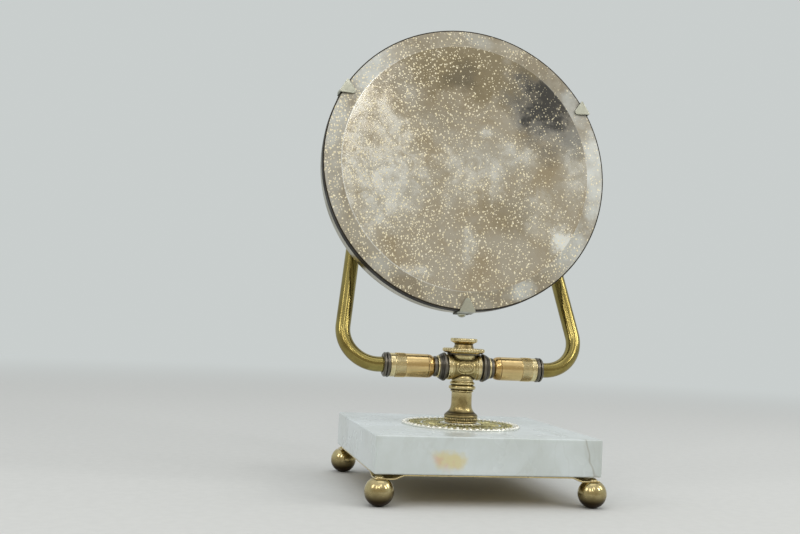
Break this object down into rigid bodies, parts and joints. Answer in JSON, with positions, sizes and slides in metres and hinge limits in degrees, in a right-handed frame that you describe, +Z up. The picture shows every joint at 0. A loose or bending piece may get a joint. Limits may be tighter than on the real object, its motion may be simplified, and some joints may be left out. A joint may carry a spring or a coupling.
{
  "type": "table vanity mirror",
  "caption": "Round bevelled vanity mirror that tilts on a bent brass yoke, over a turned stem and a square marble slab on ball feet.",
  "frame": {"origin": "on the table top, under the middle of the square base, on the stem's axis", "axes": "+X to the viewer's right, +Y away from the viewer, +Z up"},
  "size_m": [0.2144, 0.162, 0.3385],
  "materials": {
    "marble": "polished pale marble, grey veins and one amber spot, worn arrises",
    "plate_brass": "pressed sheet, dull underneath",
    "foot_brass": "satin, unlacquered, brown tarnish low down",
    "steel": "zinc-dull steel",
    "filigree_brass": "pierced and stamped, pale silvery gold",
    "cast_brass": "cast, antiqued brown-black in the hollows",
    "ring_brass": "turned, bright on the crests",
    "sleeve_brass": "turned, warm, light scratches",
    "dark_metal": "dark, purple-grey, satin",
    "tube_brass": "drawn tube, aged olive gold",
    "mirror_glass": "bevelled, antiqued and flecked with gold",
    "rim_metal": "near black",
    "pan_metal": "dull grey sheet metal",
    "board": "raw fibreboard",
    "clip_nickel": "satin nickel"
  },
  "bodies": {
    "base": {"marble_slab": "marble", "base_plate": "plate_brass", "foot_front_left": "foot_brass", "foot_front_right": "foot_brass", "foot_back_left": "foot_brass", "foot_back_right": "foot_brass", "foot_rivets": "steel", "base_nut": "steel", "base_washer": "steel", "threaded_rod": "steel", "filigree_plate": "filigree_brass", "stem": "cast_brass", "stem_collar": "cast_brass", "swivel_washer": "ring_brass"},
    "hub": {"hub_body": "cast_brass", "hub_band_left": "ring_brass", "hub_band_right": "ring_brass", "hub_ring_left": "dark_metal", "hub_ring_right": "dark_metal", "hub_trim_left": "ring_brass", "hub_trim_right": "ring_brass", "brake_washer_left": "dark_metal", "brake_washer_right": "dark_metal", "nipple_left": "sleeve_brass", "nipple_right": "sleeve_brass", "spacer": "dark_metal"},
    "knob": {"clamp_flange": "ring_brass", "clamp_knob": "ring_brass"},
    "yoke": {"sleeve_left": "sleeve_brass", "sleeve_right": "sleeve_brass", "grip_band_left": "ring_brass", "grip_band_right": "ring_brass", "sleeve_cap_left": "ring_brass", "sleeve_cap_right": "ring_brass", "end_ring_left": "dark_metal", "end_ring_right": "dark_metal", "arm_left": "tube_brass", "arm_right": "tube_brass", "arm_tip_left": "tube_brass", "arm_tip_right": "tube_brass"},
    "mirror": {"mirror_glass": "mirror_glass", "mirror_rim": "rim_metal", "backing_board": "board", "packing_disc": "board", "back_pan": "pan_metal", "clip_bottom": "clip_nickel", "clip_top_left": "clip_nickel", "clip_top_right": "clip_nickel", "clip_screws": "steel", "bracket_left": "tube_brass", "bracket_right": "tube_brass", "bracket_screws": "steel", "pivot_screw_left": "tube_brass", "pivot_screw_right": "tube_brass", "pivot_nut_left": "tube_brass", "pivot_nut_right": "tube_brass", "pivot_washers": "steel"}
  },
  "joints": [
    {"name": "hub_swivel", "type": "hinge", "parent": "base", "child": "hub", "pos_m": [0, 0, 0.08595], "axis": [0, 0, 1], "continuous": true},
    {"name": "knob_turn", "type": "hinge", "parent": "base", "child": "knob", "pos_m": [0, 0, 0.1], "axis": [0, 0, 1], "continuous": true},
    {"name": "yoke_tilt", "type": "hinge", "parent": "hub", "child": "yoke", "pos_m": [0, 0, 0.08595], "axis": [1, 0, 0], "range_deg": [-30, 45]},
    {"name": "mirror_tilt", "type": "hinge", "parent": "yoke", "child": "mirror", "pos_m": [0, 0.05494, 0.21539], "axis": [1, 0, 0], "range_deg": [-60, 3]}
  ]
}
